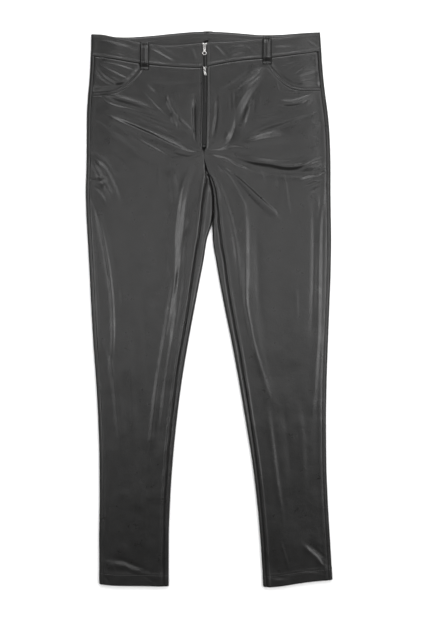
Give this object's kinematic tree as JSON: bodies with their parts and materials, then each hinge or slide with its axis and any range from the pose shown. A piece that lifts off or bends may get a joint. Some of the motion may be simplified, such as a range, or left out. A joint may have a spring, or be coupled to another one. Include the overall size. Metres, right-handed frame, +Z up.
{
  "type": "wet-look skinny trousers",
  "caption": "Skinny trousers in black coated cloth laid flat, front up, with zip fly, two sliders, curved pocket mouths, belt loops and plain turned hems.",
  "frame": {"origin": "middle of the laid garment's outline, on the surface it lies on", "axes": "+Y towards the waist, +X towards the wearer's left, +Z up from the surface, out of the front"},
  "size_m": [0.4669, 1.0512, 0.02],
  "materials": {
    "coated_cloth": "coated cloth with a fine grain and a soft wet-look sheen",
    "waistband_cloth": "the same coated cloth, doubled and topstitched",
    "zip_tape": "matt woven black tape",
    "zip_chain": "black moulded coil",
    "zip_metal": "bright plated metal"
  },
  "bodies": {
    "root": {"front_left": "coated_cloth", "front_right": "coated_cloth", "back_left": "coated_cloth", "back_right": "coated_cloth", "pocket_facing_left": "coated_cloth", "pocket_facing_right": "coated_cloth", "waistband_left": "waistband_cloth", "waistband_right": "waistband_cloth", "belt_loop_front_left": "waistband_cloth", "belt_loop_front_right": "waistband_cloth", "belt_loop_back": "waistband_cloth", "zip_tape": "zip_tape", "zip_chain": "zip_chain", "zip_slider_upper": "zip_metal", "zip_slider_lower": "zip_metal"},
    "pull_upper": {"zip_pull_upper": "zip_metal"},
    "pull_lower": {"zip_pull_lower": "zip_metal"}
  },
  "joints": [
    {"name": "pull_upper_swing", "type": "hinge", "parent": "root", "child": "pull_upper", "pos_m": [-0.00873, 0.4924, 0.01657], "axis": [-1, 0, 0], "range_deg": [0, 150]},
    {"name": "pull_lower_swing", "type": "hinge", "parent": "root", "child": "pull_lower", "pos_m": [-0.00829, 0.4506, 0.01665], "axis": [-1, 0, 0], "range_deg": [0, 150]}
  ]
}
